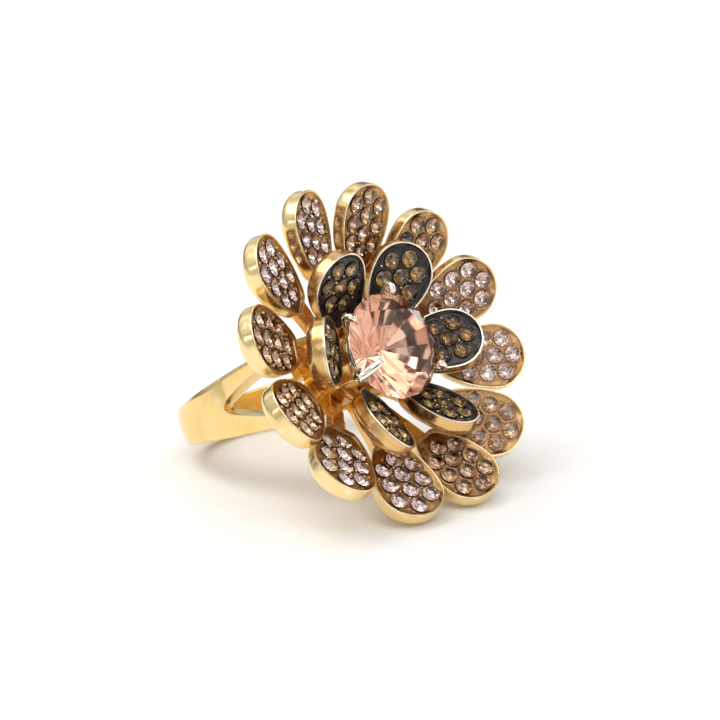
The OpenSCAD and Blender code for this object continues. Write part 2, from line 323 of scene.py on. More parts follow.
def backed(name, tint, deep):
    """Back facets of the centre stone: peach glass with a thin mirror backing."""
    m, nt, b = material(name)
    xyz = coords(nt)
    n1 = node(nt, "ShaderNodeTexNoise", Scale=0.5, Detail=1.0)
    nt.links.new(xyz, n1.inputs["Vector"])
    nt.links.new(ramp(nt, n1.outputs["Fac"], [(0.38, deep), (0.60, tint)]), b.inputs["Base Color"])
    b.inputs["Metallic"].default_value = 0.88
    b.inputs["Transmission Weight"].default_value = 0.6
    b.inputs["IOR"].default_value = 1.6
    n2 = node(nt, "ShaderNodeTexNoise", Scale=2.0, Detail=2.0)
    nt.links.new(xyz, n2.inputs["Vector"])
    nt.links.new(ramp(nt, n2.outputs["Fac"], [(0.4, grey(0.05)), (0.8, grey(0.10))]), b.inputs["Roughness"])
    return m


def enamel(name, base, base2, rough=(0.08, 0.22)):
    """Glossy black enamel with a slightly uneven skin."""
    m, nt, b = material(name)
    xyz = coords(nt)
    n1 = node(nt, "ShaderNodeTexNoise", Scale=1.2, Detail=3.0)
    nt.links.new(xyz, n1.inputs["Vector"])
    nt.links.new(ramp(nt, n1.outputs["Fac"], [(0.35, base), (0.7, base2)]), b.inputs["Base Color"])
    nt.links.new(ramp(nt, n1.outputs["Fac"], [(0.3, grey(rough[0])), (0.7, grey(rough[1]))]), b.inputs["Roughness"])
    b.inputs["Coat Weight"].default_value = 0.18
    b.inputs["Specular IOR Level"].default_value = 0.35
    b.inputs["Coat Roughness"].default_value = 0.05
    n2 = node(nt, "ShaderNodeTexNoise", Scale=2.5, Detail=2.0)
    nt.links.new(xyz, n2.inputs["Vector"])
    bp = node(nt, "ShaderNodeBump", Strength=0.5, Distance=0.00008)
    nt.links.new(n2.outputs["Fac"], bp.inputs["Height"])
    nt.links.new(bp.outputs[0], b.inputs["Normal"])
    return m


GOLD = metal("polished_gold_plate", (0.93, 0.68, 0.29), (0.86, 0.58, 0.21), (0.98, 0.84, 0.55), pits=0.12)
CUP_GOLD = metal("cup_gold_plate", (0.94, 0.735, 0.375), (0.88, 0.64, 0.28), (0.98, 0.87, 0.62), pits=0.12)
# Stems and hubs: a darker, more orange copy of the gold; its base colour paints the shade and gold-on-gold reflection
# deep under and between the petals.
GOLD_STEM_PAINTED_SHADE = metal("gold_plate_stems_painted_shade", (0.84, 0.52, 0.19), (0.66, 0.36, 0.11), (0.96, 0.76, 0.42), rough=(0.16, 0.30), pits=0.25)
RIM_GOLD = metal("worn_gold_rim", (0.92, 0.72, 0.38), (0.86, 0.62, 0.28), (0.96, 0.86, 0.66), rough=(0.14, 0.30), pits=0.3)
LEDGE = metal("gold_ledge", (0.54, 0.33, 0.15), (0.32, 0.17, 0.07), (0.86, 0.62, 0.34), rough=(0.20, 0.38), pits=0.6)
# Paler, nearly silvery metal for the inner cups' rims.
PALE = metal("pale_inner_rim", (0.94, 0.84, 0.62), (0.90, 0.76, 0.48), (0.97, 0.93, 0.84), rough=(0.12, 0.28), pits=0.25)
# Inner cup walls: a darker, deeper orange copy of the cup gold; its base colour paints the shade and the reflected
# neighbouring petals on these walls.
INNER_GOLD_PAINTED_SHADE = metal("pale_gold_plate", (0.74, 0.46, 0.18), (0.52, 0.28, 0.09), (0.97, 0.88, 0.66), pits=0.2)
SILVERY = metal("claw_metal", (0.93, 0.86, 0.70), (0.88, 0.76, 0.50), (0.97, 0.95, 0.90), rough=(0.06, 0.16), bump=0.003)
BED = metal("darkened_gold_bed", (0.38, 0.20, 0.09), (0.20, 0.09, 0.04), (0.72, 0.46, 0.22), rough=(0.22, 0.42), pits=0.9, worn=0.6)
BEAD = metal("gold_beads", (0.66, 0.42, 0.18), (0.40, 0.22, 0.09), (0.90, 0.70, 0.42), rough=(0.12, 0.24))
BLACK = enamel("black_enamel_bed", (0.009, 0.007, 0.006), (0.024, 0.019, 0.016), rough=(0.20, 0.38))
ROSE_TOP = glass("rose_glass_crown", (0.985, 0.945, 0.945), (0.95, 0.89, 0.895))
ROSE_FOIL = foil("rose_foil", (0.99, 0.91, 0.88), (0.68, 0.53, 0.49), rough=0.02)
TAN_TOP = glass("champagne_glass_crown", (0.965, 0.90, 0.84), (0.93, 0.85, 0.77))
TAN_FOIL = foil("champagne_foil", (0.92, 0.74, 0.58), (0.46, 0.32, 0.23), rough=0.03)
SMOKE_TOP = glass("smoky_glass_crown", (0.84, 0.76, 0.60), (0.74, 0.64, 0.46))
SMOKE_FOIL = foil("smoky_foil", (0.74, 0.56, 0.31), (0.17, 0.11, 0.06), rough=0.03)
PEACH = glass("peach_glass", (0.975, 0.80, 0.71), (0.96, 0.74, 0.64), ior=1.45, rough=0.0, scale=0.3)
PEACH_BACK = backed("peach_backing", (0.99, 0.84, 0.74), (0.97, 0.77, 0.65))
# Darker copy of the peach backing for eight of the sixteen pavilion facets: painted dark wedge reflections in the
# centre stone.
PEACH_BACK_PAINTED_DARK = backed("peach_backing_painted_dark", (0.86, 0.58, 0.46), (0.74, 0.46, 0.36))


# ---------------------------------------------------------------- petal cups
def hw_at(f, s):
    if s <= TIP_S:
        return f["hw"] * math.sqrt(max(0.0, 1 - ((TIP_S - s) / TIP_S) ** 2))
    return f["hw"] * (1 - (1 - f["root"]) * ((s - TIP_S) / (f["len"] - TIP_S)) ** f["p"])


NT, NS, NR = 56, 18, 9          # points on the round tip, on each side and across the root
NLOOP = NT + 1 + 2 * NS + NR


def loop(f, inset):
    """Closed outline of a petal drawn in by inset (a number, or one value for each of the NLOOP points)."""
    ins = inset if hasattr(inset, "__len__") else [inset] * NLOOP
    out, hw, ln = [], f["hw"], f["len"]
    for k in range(NT + 1):
        a, d = math.pi * k / NT, ins[k]
        out.append((-(TIP_S - (TIP_S - d) * math.sin(a)), -(hw - d) * math.cos(a)))
    for k in range(1, NS + 1):
        d = ins[NT + k]
        s = TIP_S + (ln - d - TIP_S) * k / NS
        e = max(0.0, (s - (ln - d - 0.55)) / 0.55)
        out.append((-s, max(0.02, hw_at(f, s) - d - 0.22 * e * e)))
    half = out[-1][1]
    for k in range(1, NR + 1):
        d = ins[NT + NS + k]
        out.append((-(ln - d) + 0.0, half * (1 - 2 * k / (NR + 1))))
    for k in range(NS, 0, -1):
        d = ins[NT + NS + NR + (NS - k) + 1]
        s = TIP_S + (ln - d - TIP_S) * k / NS
        e = max(0.0, (s - (ln - d - 0.55)) / 0.55)
        out.append((-s, -max(0.02, hw_at(f, s) - d - 0.22 * e * e)))
    return np.array(out)


def spine(f, q):
    return np.stack([np.clip(q[:, 0], -f["len"] + 1.7, -2.7), np.zeros(len(q))], 1)


def cup(f, i, seats, tier):
    """One petal cup with its thin rim, prongs between the stones, recess, rounded bowl and flat stem."""
    rnd = random.Random(100 * (tier == "outer") + i)
    S = Shape()
    rim, dep = f["rim"], f["depth"]
    base = loop(f, rim)
    st = np.array(seats)
    gap = np.array([np.min(np.hypot(*(st - q).T)) - PAVE_R for q in base])
    nose = base[:, 0] > -f["len"] * 0.80
    reach = 0.50 if tier == "outer" else 0.22
    prong = np.clip((gap - (0.22 if tier == "outer" else 0.35)) / 0.38, 0, 1) * reach * nose
    sx, sy = rnd.uniform(0, 50), rnd.uniform(0, 50)

    def put(inset, z, wave=0.02):
        q = loop(f, inset)
        w = np.array([noise.noise(Vector((x * 0.45 + sx, y * 0.45 + sy, z * 0.5))) for x, y in q])
        ins = (np.array(inset) if hasattr(inset, "__len__") else np.full(NLOOP, float(inset))) + wave * (0.5 + 0.5 * w)
        q = loop(f, ins)
        zz = np.full(NLOOP, float(z)) + 0.02 * w * (z > -0.2)
        return np.column_stack([q, zz])

    wall = [(0.0, -0.135), (0.028, -0.155), (0.028, -0.175), (0.0, -0.195), (0.0, -0.34), (0.0, -0.52), (0.0, -0.75), (0.0, -0.98)]
    k = dep / 2.0
    wall += [(0.02, -1.14 * k), (0.075, -1.30 * k), (0.17, -1.46 * k), (0.31, -1.61 * k), (0.49, -1.745 * k), (0.70, -1.85 * k), (0.92, -1.92 * k)]
    ledge = 3
    rows = [(rim, -POCKET, 0), (rim, -0.40, ledge), (rim + prong * 0.6, -0.27, ledge), (rim + prong - 0.03, -0.19, ledge), (rim + prong * 0.8 - 0.07, -0.150, ledge),
            (rim * 0.75 + prong * 0.3, -0.115, ledge), (0.215, -0.075, ledge), (0.165, -0.028, 1), (0.125, -0.004, 1), (0.075, 0.0, 1), (0.03, -0.012, 1), (0.006, -0.05, 1), (0.0, -0.10, 1)]
    rows += [(a, b, 0) for a, b in wall]
    loops, mats = [], []
    for inset, z, m in rows:
        loops.append(put(inset, min(z, -0.001)))
        mats.append(m)
    verts = [p for L in loops for p in L]
    faces, fm = [], []
    for j in range(len(loops) - 1):
        fs = strip(j * NLOOP, (j + 1) * NLOOP, NLOOP)
        faces += fs
        fm += [mats[j] if mats[j] == mats[j + 1] else (ledge if ledge in (mats[j], mats[j + 1]) else 0)] * len(fs)
    # recess floor and the underside of the bowl, each drawn in to a line along the petal
    for start, sign in ((0, 1), (len(loops) - 1, -1)):
        L = loops[start]
        q = L[:, :2]
        c = spine(f, loop(f, rim if sign > 0 else 0.92))
        prev = start * NLOOP
        for t in (0.25, 0.5, 0.75, 1.0):
            p = q + (c - q) * t
            z = L[:, 2] if sign > 0 else L[:, 2] + (-dep - L[:, 2]) * (1 - (1 - t) ** 2)
            now = len(verts)
            verts += [tuple(r) for r in np.column_stack([p, z])]
            fs = strip(prev, now, NLOOP) if sign < 0 else strip(now, prev, NLOOP)
            faces += fs
            fm += [0] * len(fs)
            prev = now
    S.add(petal_to_ring(f, i, verts), faces, fm)
    # flat stem, stepped towards the hub
    r0, h0, az, sl, ln, ro = where(f, i)
    low = 1.5 if tier == "outer" else 1.15
    hub = HUB_R if tier == "outer" else IHUB_R
    x1 = -f["len"] + 0.45
    x0 = (hub + 0.02 - r0 - low * math.sin(sl)) / math.cos(sl) - ln - 0.15
    n = 16
    sec = []
    for j in range(n + 1):
        t = j / n
        x = x0 + (x1 - x0) * t
        top = -0.55 - (0.10 if t < 0.62 else 0) - (0.12 if t < 0.34 else 0)
        w = 0.9 - 0.10 * math.sin(math.pi * t) - (0.04 if t < 0.34 else 0)
        b = 0.10
        ring = [(-w + b, top), (-w * 0.5, top + 0.0), (0, top), (w * 0.5, top), (w - b, top), (w, top - b), (w, -low + b), (w - b, -low), (-w + b, -low), (-w, -low + b), (-w, top - b)]
        sec.append([(x, y, z) for y, z in ring])
    m = len(sec[0])
    steps = []
    for j in range(n + 1):     # a small riser where the top steps down
        steps.append(sec[j])
    sv = []
    for s in steps:
        pts = np.array(s)
        ring = petal_to_ring(f, i, pts, roll=False)
        flat = (ring[:, 0] * math.cos(math.radians(f["first"] + f["step"] * i)) + ring[:, 1] * math.sin(math.radians(f["first"] + f["step"] * i)))
        push = np.maximum(0, hub + 0.0 - flat)      # the end is cut flat against the hub
        a = math.radians(f["first"] + f["step"] * i)
        ring[:, 0] += push * math.cos(a)
        ring[:, 1] += push * math.sin(a)
        sv.append(ring)
    sf = []
    for j in range(n):
        sf += strip(j * m, (j + 1) * m, m)
    sf.append(list(range(m))[::-1])
    sf.append([n * m + q for q in range(m)])
    S.add(np.concatenate(sv), sf, 2)
    return S


def bed(f, i, seats, tier):
    """The bed between the stones: a plate with a conical seat under each stone and beads raised in the gaps."""
    rnd = random.Random(500 + 100 * (tier == "outer") + i)
    S = Shape()
    edge = loop(f, f["rim"] + 0.012)[::2]
    pts = [Vector(p) for p in edge]
    n0 = len(pts)
    cons = [(k, (k + 1) % n0) for k in range(n0)]
    sr = PAVE_R * (1 - (GIRDLE_Z - BED_TOP) / PAV_H)
    for q in seats:
        for r in (sr + 0.035, sr * 0.45):
            k0 = len(pts)
            c = 20 if r > 0.4 else 10
            pts += [Vector((q[0] + r * math.cos(2 * math.pi * k / c), q[1] + r * math.sin(2 * math.pi * k / c))) for k in range(c)]
            cons += [(k0 + k, k0 + (k + 1) % c) for k in range(c)]
        pts.append(Vector(q))
    x = -f["len"] + 0.3
    while x < -0.6:
        y = -f["hw"]
        while y < f["hw"]:
            s = -x
            if 0.5 < s < f["len"] - 0.5 and abs(y) < hw_at(f, s) - f["rim"] - 0.12 and all(math.hypot(x - q[0], y - q[1]) > sr + 0.14 for q in seats):
                pts.append(Vector((x + rnd.uniform(-0.05, 0.05), y + rnd.uniform(-0.05, 0.05))))
            y += 0.21
        x += 0.21
    v2, _, tri, *_ = delaunay_2d_cdt(pts, cons, [], 1, 1e-6)
    top = []
    for p in v2:
        d = min(math.hypot(p.x - q[0], p.y - q[1]) for q in seats)
        z = BED_TOP + 0.05 + 0.05 * noise.noise(Vector((p.x * 1.7 + i * 7, p.y * 1.7, 3.1)))
        z += 0.10 * math.exp(-((d - 0.98) / 0.16) ** 2)
        z = min(z, GIRDLE_Z - PAV_H * (1 - d / PAVE_R) - 0.03 if d < PAVE_R + 0.1 else z)
        top.append((p.x, p.y, max(z, -0.80)))
    n = len(top)
    low = [(p.x, p.y, -POCKET + 0.01) for p in v2]
    tri = [list(t) for t in tri]
    edges = {}
    for t in tri:
        for a, b in zip(t, t[1:] + t[:1]):
            edges[(a, b)] = True
    rimf = [[a, b, b + n, a + n] for (a, b) in edges if (b, a) not in edges]
    faces = tri + [[a + n for a in t[::-1]] for t in tri] + [r[::-1] for r in rimf]
    S.add(petal_to_ring(f, i, top + low), faces, 0)
    # beads: one in each gap between three stones, and one where two stones meet the rim
    st = [Vector(q) for q in seats]
    spots = []
    for a in range(len(st)):
        for b in range(a + 1, len(st)):
            if (st[a] - st[b]).length > 2.05:
                continue
            both = 0
            for c in range(len(st)):
                if c in (a, b):
                    continue
                if (st[a] - st[c]).length < 2.05 and (st[b] - st[c]).length < 2.05:
                    both += 1
                    if c > b:
                        spots.append(((st[a] + st[b] + st[c]) / 3, 0.14, -0.07))
            if both < 2:
                mid = (st[a] + st[b]) / 2
                mean = sum(st, Vector((0, 0))) / len(st)
                out = Vector((-(st[b] - st[a]).y, (st[b] - st[a]).x)).normalized()
                if (mid - mean).dot(out) < 0:
                    out = -out
                spots.append((mid + out * 0.78, 0.15, -0.10))
    for p, r, z in spots:
        s = -p.x
        if s < 0.65 or s > f["len"] - 0.6 or abs(p.y) > hw_at(f, s) - f["rim"] - 0.05:
            continue
        if rnd.random() < (0.30 if tier == "outer" else 0.5):
            continue
        v, fc = ball((p.x + rnd.uniform(-0.03, 0.03), p.y + rnd.uniform(-0.03, 0.03), z - 0.04), r * rnd.uniform(0.8, 1.1), rnd.uniform(0.9, 1.25))
        S.add(petal_to_ring(f, i, v), fc, 1)
    return S


# ---------------------------------------------------------------- stones
def brilliant(r, table, crown, pav, girdle, full=True, star=0.56):
    """Round brilliant, girdle plane at z = 0: kite, star and girdle facets above, mains below. Material 1 is the
    pavilion; in a full stone eight of its sixteen facets take material 2 instead, a darker backing that paints dark
    wedge reflections.
    """
    v, f, m = [], [], []
    n = 8
    zt = girdle + crown
    T = [len(v) + k for k in range(n)]
    v += [(table * math.cos(2 * math.pi * k / n), table * math.sin(2 * math.pi * k / n), zt) for k in range(n)]
    rs = table + (r - table) * (1 - star)
    h = math.pi / n
    zs = girdle + crown * (r - rs * math.cos(h)) / (r - table)
    zs = min(zs, zt - 0.001)
    Sx = [len(v) + k for k in range(n)]
    v += [(rs * math.cos(2 * math.pi * k / n + h), rs * math.sin(2 * math.pi * k / n + h), zs) for k in range(n)]
    G1 = [len(v) + k for k in range(2 * n)]
    v += [(r * math.cos(h * k), r * math.sin(h * k), girdle) for k in range(2 * n)]
    G0 = [len(v) + k for k in range(2 * n)]
    v += [(r * math.cos(h * k), r * math.sin(h * k), 0.0) for k in range(2 * n)]
    f.append(T[:]); m.append(0)
    for k in range(n):
        f.append([T[k], Sx[k], T[(k + 1) % n]][::-1]); m.append(0)
        f.append([T[k], Sx[k - 1], G1[2 * k], Sx[k]]); m.append(0)
        f.append([Sx[k], G1[2 * k], G1[2 * k + 1]]); m.append(0)
        f.append([Sx[k], G1[2 * k + 1], G1[(2 * k + 2) % (2 * n)]]); m.append(0)
    for k in range(2 * n):
        f.append([G1[k], G0[k], G0[(k + 1) % (2 * n)], G1[(k + 1) % (2 * n)]]); m.append(0)
    c = len(v)
    v.append((0, 0, -pav))
    if full:
        # the listed pavilion facets take material 2: painted dark wedge reflections
        for k in range(2 * n):
            f.append([c, G0[(k + 1) % (2 * n)], G0[k]]); m.append(2 if k in (1, 3, 4, 6, 9, 11, 12, 15) else 1)
    else:
        for k in range(n):
            f.append([c, G0[(2 * k + 2) % (2 * n)], G0[2 * k + 1], G0[2 * k]]); m.append(1)
    return np.array(v), f, m


def pave(f, i, seats, tier):
    rnd = random.Random(900 + 100 * (tier == "outer") + i)
    S = Shape()
    for q in seats:
        r = PAVE_R - 0.012
        v, fc, m = brilliant(r, 0.56 * PAVE_R, 0.205, PAV_H - 0.02, 0.05, full=False, star=0.5)
        a, t, d = rnd.uniform(0, 2 * math.pi), math.radians(rnd.uniform(0, 2.6)), rnd.uniform(0, 2 * math.pi)
        R = Matrix.Rotation(t, 3, Vector((math.cos(d), math.sin(d), 0))) @ Matrix.Rotation(a, 3, "Z")
        v = np.array([R @ Vector(p) for p in v]) + np.array([q[0], q[1], GIRDLE_Z + rnd.uniform(-0.02, 0.012)])
        S.add(petal_to_ring(f, i, v), fc, m)
    return S


for i in range(12):
    k = f"{i + 1:02d}"
    cup(OUTER, i, OUTER_SEATS, "outer").object(f"outer_cup_{k}", [CUP_GOLD, RIM_GOLD, GOLD_STEM_PAINTED_SHADE, LEDGE], "gold_plate", [f"outer_petal_{k}"], smooth=38)
    bed(OUTER, i, OUTER_SEATS, "outer").object(f"outer_pave_bed_{k}", [BED, BEAD], "gold_bed", [f"outer_bed_{k}"], smooth=45)
    rose = i in ROSE
    pave(OUTER, i, OUTER_SEATS, "outer").object(f"outer_pave_{k}", [ROSE_TOP, ROSE_FOIL] if rose else [TAN_TOP, TAN_FOIL],
        "rose_stones" if rose else "champagne_stones", [f"outer_stones_{k}"], smooth=0, weld=0)
for i in range(6):
    k = f"{i + 1:02d}"
    cup(INNER, i, INNER_SEATS, "inner").object(f"inner_cup_{k}", [INNER_GOLD_PAINTED_SHADE, PALE, GOLD_STEM_PAINTED_SHADE, BLACK], "pale_gold_plate", [f"inner_petal_{k}"], smooth=38)
    bed(INNER, i, INNER_SEATS, "inner").object(f"inner_pave_bed_{k}", [BLACK, BEAD], "black_bed", [f"inner_bed_{k}"], smooth=45)
    pave(INNER, i, INNER_SEATS, "inner").object(f"inner_pave_{k}", [SMOKE_TOP, SMOKE_FOIL], "smoky_stones", [f"inner_stones_{k}"], smooth=0, weld=0)

# ---------------------------------------------------------------- centre stone
S = Shape()
v, fc, m = brilliant(STONE_R - 0.01, 0.64 * STONE_R, 0.28 * STONE_R - 0.01, 0.84 * STONE_R, 0.12, full=True, star=0.52)
a = math.radians(11)
v = v @ np.array([[math.cos(a), math.sin(a), 0], [-math.sin(a), math.cos(a), 0], [0, 0, 1]]) + np.array([0, 0, STONE_Z])
S.add(v, fc, m)
S.object("peach_brilliant", [PEACH, PEACH_BACK, PEACH_BACK_PAINTED_DARK], "peach_stone", ["centre_stone"], smooth=0, weld=0)


# ---------------------------------------------------------------- claw basket
def hoop(R, z, rr, rz, nu=96, nv=12):
    v = [((R + rr * math.cos(2 * math.pi * j / nv)) * math.cos(2 * math.pi * k / nu), (R + rr * math.cos(2 * math.pi * j / nv)) * math.sin(2 * math.pi * k / nu),
          z + rz * math.sin(2 * math.pi * j / nv)) for k in range(nu) for j in range(nv)]
    f = [[k * nv + j, k * nv + (j + 1) % nv, ((k + 1) % nu) * nv + (j + 1) % nv, ((k + 1) % nu) * nv + j] for k in range(nu) for j in range(nv)]
    return v, f


def smooth_path(pts, n=22):
    """Catmull-Rom curve through pts."""
    p = [Vector(q) for q in pts]
    p = [p[0] * 2 - p[1]] + p + [p[-1] * 2 - p[-2]]
    out = []
    segs = len(p) - 3
    for j in range(n + 1):
        u = min(j / n * segs, segs - 1e-6)
        s = int(u)
        t = u - s
        a, b, c, d = p[s:s + 4]
        out.append(0.5 * ((2 * b) + (c - a) * t + (2 * a - 5 * b + 4 * c - d) * t * t + (3 * b - a - 3 * c + d) * t ** 3))
    return out


S = Shape()
S.add(*hoop(2.85, IHUB_TOP + 0.30, 0.40, 0.30))
S.add(*hoop(3.88, STONE_Z - 1.43, 0.17, 0.17))
for az, over in zip(CLAW_AZ, CLAW_OVER):
    ca, sa = math.cos(math.radians(az)), math.sin(math.radians(az))
    if over:
        line = [(2.9, 15.65), (4.3, 17.1), (5.35, 18.2), (5.60, 18.72), (5.12, 19.14), (4.4, 19.70), (3.72, 20.17)]
        rad = [0.36, 0.37, 0.38, 0.40, 0.41, 0.40, 0.33]
        flt = [1, 1, 1, 0.9, 0.8, 0.74, 0.66]
    else:
        line = [(2.9, 15.65), (4.3, 17.1), (5.35, 18.2), (5.66, 18.62), (5.52, 18.98), (5.14, 19.17)]
        rad = [0.36, 0.37, 0.36, 0.34, 0.33, 0.30]
        flt = [1, 1, 1, 1, 1, 1]
    path = smooth_path([(r * ca, r * sa, z) for r, z in line], 30)
    t = np.linspace(0, len(rad) - 1, len(path))
    rr = np.interp(t, range(len(rad)), rad)
    ff = np.interp(t, range(len(flt)), flt)
    v, fc = tube(path, list(rr), 16, list(ff))
    S.add(v, fc)
    if over:
        v, fc = ball((3.76 * ca, 3.76 * sa, 20.14), 0.325, 0.72)
    else:
        v, fc = ball((5.06 * ca, 5.06 * sa, 19.12), 0.38, 0.92, 16, 12)
    S.add(v, fc)
S.object("claw_basket", [SILVERY], "pale_gold_plate", ["centre_setting"], smooth=50, weld=0)


# ---------------------------------------------------------------- hubs
def drum(n, r, turn, levels, steps=6, hole=None):
    """Faceted drum with softened corners: levels are (height, inset) rows; each corner is rounded over a few points. hole is (radius, floor)."""
    S = Shape()
    rows = []
    for z, inset in levels:
        row = []
        R = (r - inset) / math.cos(math.pi / n)
        for k in range(n):
            c = math.radians(turn) + 2 * math.pi * k / n
            a = Vector((R * math.cos(c), R * math.sin(c)))
            p0 = Vector((R * math.cos(c - 2 * math.pi / n), R * math.sin(c - 2 * math.pi / n)))
            p1 = Vector((R * math.cos(c + 2 * math.pi / n), R * math.sin(c + 2 * math.pi / n)))
            s0, s1 = a + (p0 - a).normalized() * 0.18, a + (p1 - a).normalized() * 0.18
            for j in range(steps):
                t = j / (steps - 1)
                row.append(s0 * (1 - t) ** 2 + a * 2 * t * (1 - t) + s1 * t * t)
        rows.append([(q.x, q.y, z) for q in row])
    if hole:
        ang = [math.atan2(y, x) for x, y, z in rows[-1]]
        for rr, z in ((hole[0] + 0.06, levels[-1][0]), (hole[0], levels[-1][0] - 0.06), (hole[0], hole[1])):
            rows.append([(rr * math.cos(t), rr * math.sin(t), z) for t in ang])
    m = len(rows[0])
    v = [p for row in rows for p in row]
    f = []
    for j in range(len(rows) - 1):
        f += strip(j * m, (j + 1) * m, m)
    f.append(list(range(m))[::-1])
    f.append([(len(rows) - 1) * m + k for k in range(m)])
    S.add(v, f)
    return S


# both hubs use the stem gold, whose darker, more orange base colour is painted shade
drum(12, HUB_R, 0, [(BRIDGE_Z, 0.0), (BRIDGE_Z + 0.05, 0.0), (11.6, 0.0), (HUB_TOP - 0.55, 0.0), (HUB_TOP - 0.5, 0.10), (HUB_TOP - 0.12, 0.12), (HUB_TOP - 0.03, 0.16), (HUB_TOP, 0.26)]).object(
    "outer_hub_drum", [GOLD_STEM_PAINTED_SHADE], "gold_plate", ["outer_hub"], smooth=35)
drum(6, IHUB_R, 30, [(HUB_TOP, 0.0), (HUB_TOP + 0.05, 0.0), (14.3, 0.0), (IHUB_TOP - 0.14, 0.0), (IHUB_TOP - 0.04, 0.05), (IHUB_TOP, 0.15)], hole=(1.75, HUB_TOP + 0.4)).object(
    "inner_hub_block", [GOLD_STEM_PAINTED_SHADE], "gold_plate", ["inner_hub"], smooth=35)


# ---------------------------------------------------------------- shank
def half_w(z):
    return SHANK_W / 2 if z < -5 else SHANK_W / 2 + (SHOULDER_W - SHANK_W) / 2 * min(1, (z + 5) / 14.5) ** 1.35


def outer_radius(th):
    """Distance from the hole's centre to the outside at angle th from the back of the ring."""
    x, z = math.sin(th), -math.cos(th)
    r = RO
    # shoulder line from (9.2, 4.29) to (7.4, 10.6)
    ax, az_, bx, bz = 9.2, 4.29, 7.4, 10.6
    d = x * (bz - az_) - z * (bx - ax)
    if abs(d) > 1e-9:
        t = (ax * (bz - az_) - az_ * (bx - ax)) / d
        zz = t * z
        if zz > az_ and zz <= bz + 1e-6:
            r = t
    if z > 0 and r * z > BRIDGE_Z or (z > 0 and BRIDGE_Z / z < 12.95 and math.degrees(th) > 145.0):
        r = BRIDGE_Z / z
    return r


def smoothstep(a, b, x):
    t = min(1.0, max(0.0, (x - a) / (b - a)))
    return t * t * (3 - 2 * t)


def opening(th):
    """Half width of the split at the hole side and at the outside, at angle th."""
    z = -9.5 * math.cos(th)
    x = 9.9 * math.sin(th)
    zi = [3.45, 3.60, 3.90, 4.25, 4.7, 6.4, 9.6, 10.6]
    yi = [0.0, 0.20, 0.34, 0.48, 0.66, 1.42, 2.7, 2.7]
    zo = [3.45, 3.60, 3.90, 4.3, 6.4, 8.2, 9.6, 10.6]
    yo = [0.0, 0.38, 0.66, 0.90, 1.95, 2.85, 3.30, 3.35]
    shut = smoothstep(BRIDGE_X - 0.15, BRIDGE_X + 0.35, x)
    return float(np.interp(z, zi, yi)) * shut, float(np.interp(z, zo, yo)) * shut


def shank():
    """Quarter of the band lofted from the back to the middle of the bridge, then mirrored twice."""
    degs = list(np.arange(0, 100, 4.0)) + list(np.arange(100, 109, 1.5)) + list(np.arange(109, 117, 0.5)) + list(np.arange(117, 152, 1.5)) + list(np.arange(152, 158, 0.5)) + list(np.arange(158, 180, 2.5)) + [180.0]
    NI, NC, NO, NV = 8, 6, 10, 8
    rows, open_ = [], []
    for dg in degs:
        th = math.radians(dg)
        ro = outer_radius(th)
        s, c = math.sin(th), -math.cos(th)
        zm = 9.4 * c
        w = half_w(zm)
        yi, yo = opening(th)
        yi, yo = min(yi, w - 0.9), min(yo, w - 0.42)
        if yo <= 0.02:
            yi = yo = 0.0
        else:
            yi = max(yi, 0.25 * yo)
        top = smoothstep(138, 150, dg)
        dome = 0.20 * (1 - smoothstep(95, 135, dg)) + 0.02
        pts = []
        ci, co = 0.22, 0.34
        for k in range(NI):                                    # hole side, from the split to the edge
            t = k / (NI - 1)
            y = yi + (w - ci - yi) * t
            pts.append((y, RI + 0.004))
        for k in range(1, NC):                                 # inner corner
            a = math.pi / 2 * k / NC
            pts.append((w - ci + ci * math.sin(a), RI + ci * (1 - math.cos(a))))
        pts.append((w, RI + ci + 0.05))
        edge = ro - dome
        pts.append((w, (RI + edge) / 2))
        pts.append((w, edge - co))
        for k in range(1, NC):                                 # outer corner
            a = math.pi / 2 * k / NC
            pts.append((w - co + co * math.cos(a), edge - co + co * math.sin(a)))
        for k in range(NO):                                    # outside, domed, back to the split
            t = k / (NO - 1)
            y = (w - co) + (yo - (w - co)) * t
            pts.append((y, ro - dome * (y / w) ** 2))
        for k in range(1, NV):                                 # wall of the split, sloping inwards
            t = k / NV
            y = yo + (yi - yo) * t - 0.04 * yo * math.sin(math.pi * t)
            pts.append((y, (ro - dome * (yo / w) ** 2) + (RI + 0.004 - (ro - dome * (yo / w) ** 2)) * t))
        rows.append([(r * s, y, r * c) for y, r in pts])
        open_.append(yo > 0.02)
    m = len(rows[0])
    first_wall = NI + (NC - 1) + 3 + (NC - 1) + NO - 1          # index of the last outside point
    V = [p for row in rows for p in row]
    F = []
    for j in range(len(rows) - 1):
        for k in range(m):
            k2 = (k + 1) % m
            wall = k >= first_wall
            if wall and not (open_[j] or open_[j + 1]):
                continue
            F.append([j * m + k, j * m + k2, (j + 1) * m + k2, (j + 1) * m + k])
    S = Shape()
    V = np.array(V)
    for sx in (1, -1):
        for sy in (1, -1):
            S.add(V * np.array([sx, sy, 1]), F if sx * sy > 0 else [f[::-1] for f in F])
    return S


S = shank()
band = S.object("split_shank", [GOLD], "gold_plate", ["shank"], smooth=180, weld=2e-3)
bm = bmesh.new()
bm.from_mesh(band.data)
bad = [f for f in bm.faces if len(f.verts) > 2 and f.calc_area() < 1e-16]
bmesh.ops.delete(bm, geom=bad, context="FACES")
bmesh.ops.holes_fill(bm, edges=[e for e in bm.edges if len(e.link_faces) == 1], sides=12)
bmesh.ops.recalc_face_normals(bm, faces=bm.faces[:])
for f in bm.faces:
    f.smooth = True
print("shank open edges", sum(1 for e in bm.edges if len(e.link_faces) != 2), "faces", len(bm.faces))
bm.to_mesh(band.data)
bm.free()
band.data.set_sharp_from_angle(angle=math.radians(42))


# ---------------------------------------------------------------- camera at the photograph's angle
def rodrigues(v):
    v = np.array(v, float)
    t = np.linalg.norm(v)
    k = v / t
    K = np.array([[0, -k[2], k[1]], [k[2], 0, -k[0]], [-k[1], k[0], 0]])
    return np.eye(3) + math.sin(t) * K + (1 - math.cos(t)) * K @ K


